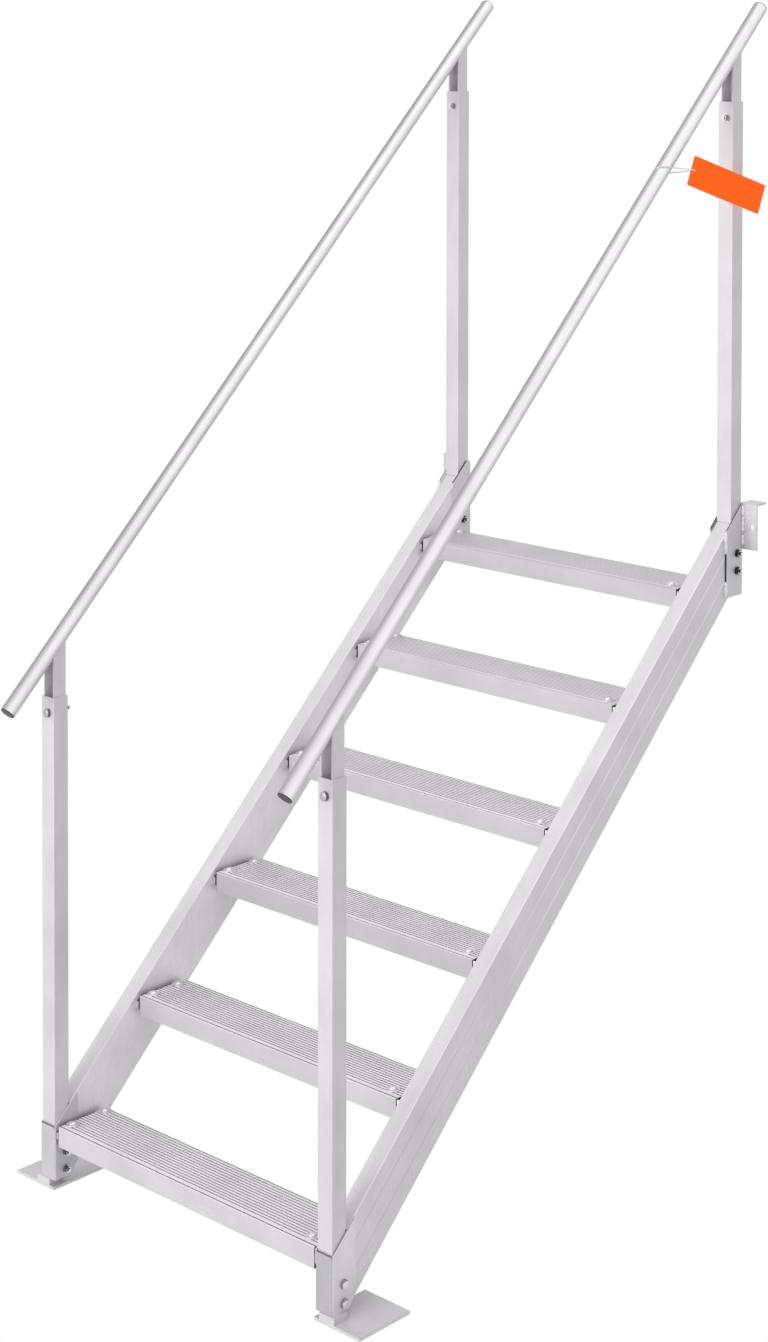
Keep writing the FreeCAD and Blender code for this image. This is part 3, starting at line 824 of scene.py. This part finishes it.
TAG_MIDDLE = at(455, 1168.5, 1914.7)
TAG_WIDTH, TAG_HEIGHT, TAG_THICK = 216.0, 65.0, 1.2
TAG_CORNER, TAG_CORNER_STEPS = 3.0, 6
TAG_TURN, TAG_ROLL = math.radians(78), math.radians(-19.5)
HOLE_U, HOLE_V, HOLE_R = -TAG_WIDTH / 2 + 9, 2.0, 2.6
HOLE_POINTS = 24
tag_along = Vector((math.cos(TAG_TURN), math.sin(TAG_TURN), 0))
tag_across = tag_along * math.cos(TAG_ROLL) + Z * math.sin(TAG_ROLL)
tag_face = Vector((math.sin(TAG_TURN), -math.cos(TAG_TURN), 0))
tag_up = tag_face.cross(tag_across)


def on_tag(u, v, w=0.0):
    """A point of the card: millimetres across, up and off its middle."""
    return TAG_MIDDLE + (tag_across * u + tag_up * v + tag_face * w) / 1000


def tag_outline():
    """The card's rounded outline, from its right upper corner round."""
    corner_u, corner_v = TAG_WIDTH / 2 - TAG_CORNER, TAG_HEIGHT / 2 - TAG_CORNER
    outline = []
    for quarter, (right, up) in enumerate(((1, 1), (-1, 1), (-1, -1), (1, -1))):
        for k in range(TAG_CORNER_STEPS + 1):
            angle = math.pi / 2 * (quarter + k / TAG_CORNER_STEPS)
            outline.append((right * corner_u + TAG_CORNER * math.cos(angle),
                            up * corner_v + TAG_CORNER * math.sin(angle)))
    return outline


def tag_card():
    bm = bmesh.new()
    hole = [(HOLE_U + HOLE_R * math.cos(angle), HOLE_V + HOLE_R * math.sin(angle))
            for angle in around(HOLE_POINTS)]
    edges = []
    for ring in (tag_outline(), hole):
        verts = [bm.verts.new(on_tag(u, v, -TAG_THICK / 2)) for u, v in ring]
        edges += [bm.edges.new(pair) for pair in zip(verts, verts[1:] + verts[:1])]
    made = bmesh.ops.triangle_fill(bm, edges=edges, use_beauty=True)
    faces = [g for g in made["geom"] if isinstance(g, bmesh.types.BMFace)]
    grown = bmesh.ops.extrude_face_region(bm, geom=faces)
    moved = [g for g in grown["geom"] if isinstance(g, bmesh.types.BMVert)]
    bmesh.ops.translate(bm, verts=moved, vec=tag_face * (TAG_THICK / 1000))
    return finish_piece("hang_tag", bm, tag_orange)


tag_card()


# the tag's tie

TIE_RADIUS, TIE_SIDES = 1.25, 10
# where the tie goes round the rail, and the radius of its bends there and in the
# card's hole, in metres
TIE_Y = 1018
RAIL_BEND, HOLE_BEND = 0.0180, 0.0017
STRAND_STEPS = 12


def tie_path():
    """A stiff loop: round the rail, then both strands to the card's hole."""
    rail_middle = at(POST_X, TIE_Y, rail_height(TIE_Y))
    hole = on_tag(HOLE_U, HOLE_V)
    out = (hole - rail_middle).normalized()
    rail_way = Vector((0, 1, RAIL_SLOPE)).normalized()
    aside = rail_way.cross(out).normalized()

    def bend(centre, radius, start, sweep, steps):
        """Points of a bend, from start degrees over sweep degrees."""
        angles = [math.radians(start + sweep * k / steps) for k in range(steps + 1)]
        return [centre + (out * math.cos(a) + aside * math.sin(a)) * radius for a in angles]

    def strand(start, end):
        """The points between two ends, without the ends."""
        return [start.lerp(end, k / STRAND_STEPS) for k in range(1, STRAND_STEPS)]

    round_rail = bend(rail_middle, RAIL_BEND, start=60, sweep=240, steps=18)
    round_hole = bend(hole, HOLE_BEND, start=-90, sweep=180, steps=6)
    return (round_rail + strand(round_rail[-1], round_hole[0])
            + round_hole + strand(round_hole[-1], round_rail[0]))


def cord_loop(name, path, radius, sides, mat):
    """A closed loop of round cord along a path."""
    bm = bmesh.new()
    rings = []
    normal = (path[1] - path[0]).orthogonal().normalized()
    for before, spot, after in zip(path[-1:] + path, path, path[1:] + path[:1]):
        ahead = (after - before).normalized()
        normal = (normal - ahead * normal.dot(ahead)).normalized()
        other = ahead.cross(normal)
        ring = []
        for angle in around(sides):
            offset = normal * math.cos(angle) + other * math.sin(angle)
            ring.append(bm.verts.new(spot + offset * radius / 1000))
        rings.append(ring)
    for low, high in zip(rings, rings[1:] + rings[:1]):
        band(bm, low, high)
    return finish_piece(name, bm, mat, smooth=60)


cord_loop("tag_tie", tie_path(), TIE_RADIUS, TIE_SIDES, tie_white)


# stage

def white_to_camera(tree, lit, white_kind, socket):
    """Mixes lit with white for camera, glossy and transmission rays."""
    paths = tree.nodes.new("ShaderNodeLightPath")
    seen = paths.outputs["Is Camera Ray"]
    for ray in ("Is Glossy Ray", "Is Transmission Ray"):
        either = tree.nodes.new("ShaderNodeMath")
        either.operation = "MAXIMUM"
        tree.links.new(seen, either.inputs[0])
        tree.links.new(paths.outputs[ray], either.inputs[1])
        seen = either.outputs["Value"]
    white = tree.nodes.new(white_kind)
    white.inputs["Color"].default_value = (1, 1, 1, 1)
    white.inputs["Strength"].default_value = 1.0
    mix = tree.nodes.new("ShaderNodeMixShader")
    tree.links.new(seen, mix.inputs["Fac"])
    tree.links.new(lit, mix.inputs[1])
    tree.links.new(white.outputs[0], mix.inputs[2])
    tree.links.new(mix.outputs["Shader"], socket)


def floor_material():
    mat = bpy.data.materials.new("floor")
    mat.use_nodes = True
    tree = mat.node_tree
    tree.nodes.clear()
    surface = tree.nodes.new("ShaderNodeOutputMaterial")
    pale = tree.nodes.new("ShaderNodeBsdfDiffuse")
    pale.inputs["Color"].default_value = (0.8, 0.8, 0.8, 1)
    white_to_camera(tree, pale.outputs["BSDF"], "ShaderNodeEmission", surface.inputs["Surface"])
    return mat


def make_floor(half_width):
    """A wide plain floor at the foot of the CAD box."""
    mesh = bpy.data.meshes.new("floor")
    bm = bmesh.new()
    bmesh.ops.create_grid(bm, x_segments=1, y_segments=1, size=half_width)
    bm.to_mesh(mesh)
    bm.free()
    mesh.materials.append(floor_material())
    floor = bpy.data.objects.new("floor", mesh)
    bpy.context.collection.objects.link(floor)
    floor.location = (0, 0, cad_box[0][2])
    return floor


def make_world(strength):
    world = bpy.data.worlds.new("world")
    bpy.context.scene.world = world
    world.use_nodes = True
    tree = world.node_tree
    sky = tree.nodes["Background"]
    sky.inputs["Color"].default_value = (1, 1, 1, 1)
    sky.inputs["Strength"].default_value = strength
    white_to_camera(tree, sky.outputs["Background"], "ShaderNodeBackground",
                    tree.nodes["World Output"].inputs["Surface"])


def area(name, place, to, size, power):
    """A square lamp that looks from one point to another: its side in metres, and
    its power in watts."""
    light = bpy.data.lights.new(name, "AREA")
    light.size = size
    light.energy = power
    lamp = bpy.data.objects.new(name, light)
    bpy.context.collection.objects.link(lamp)
    lamp.location = place
    lamp.rotation_euler = (Vector(to) - Vector(place)).to_track_quat("-Z", "Y").to_euler()


floor = make_floor(30)
make_world(0.46)
STAIR_MIDDLE = (-0.4366, -0.65, -0.2)
area("key", (-1.4, -8.3, 0.3), STAIR_MIDDLE, 4.5, 320)
area("overhead", (0.8, -1.4, 5.0), STAIR_MIDDLE, 4.0, 95)
area("streak", (5.2, 0.5, 2.6), (-0.2, -0.7, 0.4), 2.0, 14)


# camera

# fitted to the photograph: its place in metres, its turns about X, then Y, then Z in
# degrees, its lens and sensor in millimetres, and its shift
EYE = (3.24109, -4.66107, 1.128883)
EYE_TURNS = (88.2528, -0.0800, 43.0450)
LENS, SENSOR, SHIFT = 69.155, 36, -0.45018

camera = bpy.data.cameras.new("camera")
eye = bpy.data.objects.new("camera", camera)
bpy.context.collection.objects.link(eye)
eye.location = EYE
eye.rotation_euler = [math.radians(turn) for turn in EYE_TURNS]
camera.sensor_fit = "VERTICAL"
camera.sensor_height = SENSOR
camera.lens = LENS
camera.shift_y = SHIFT
bpy.context.scene.camera = eye
bpy.context.scene.view_settings.view_transform = "Standard"
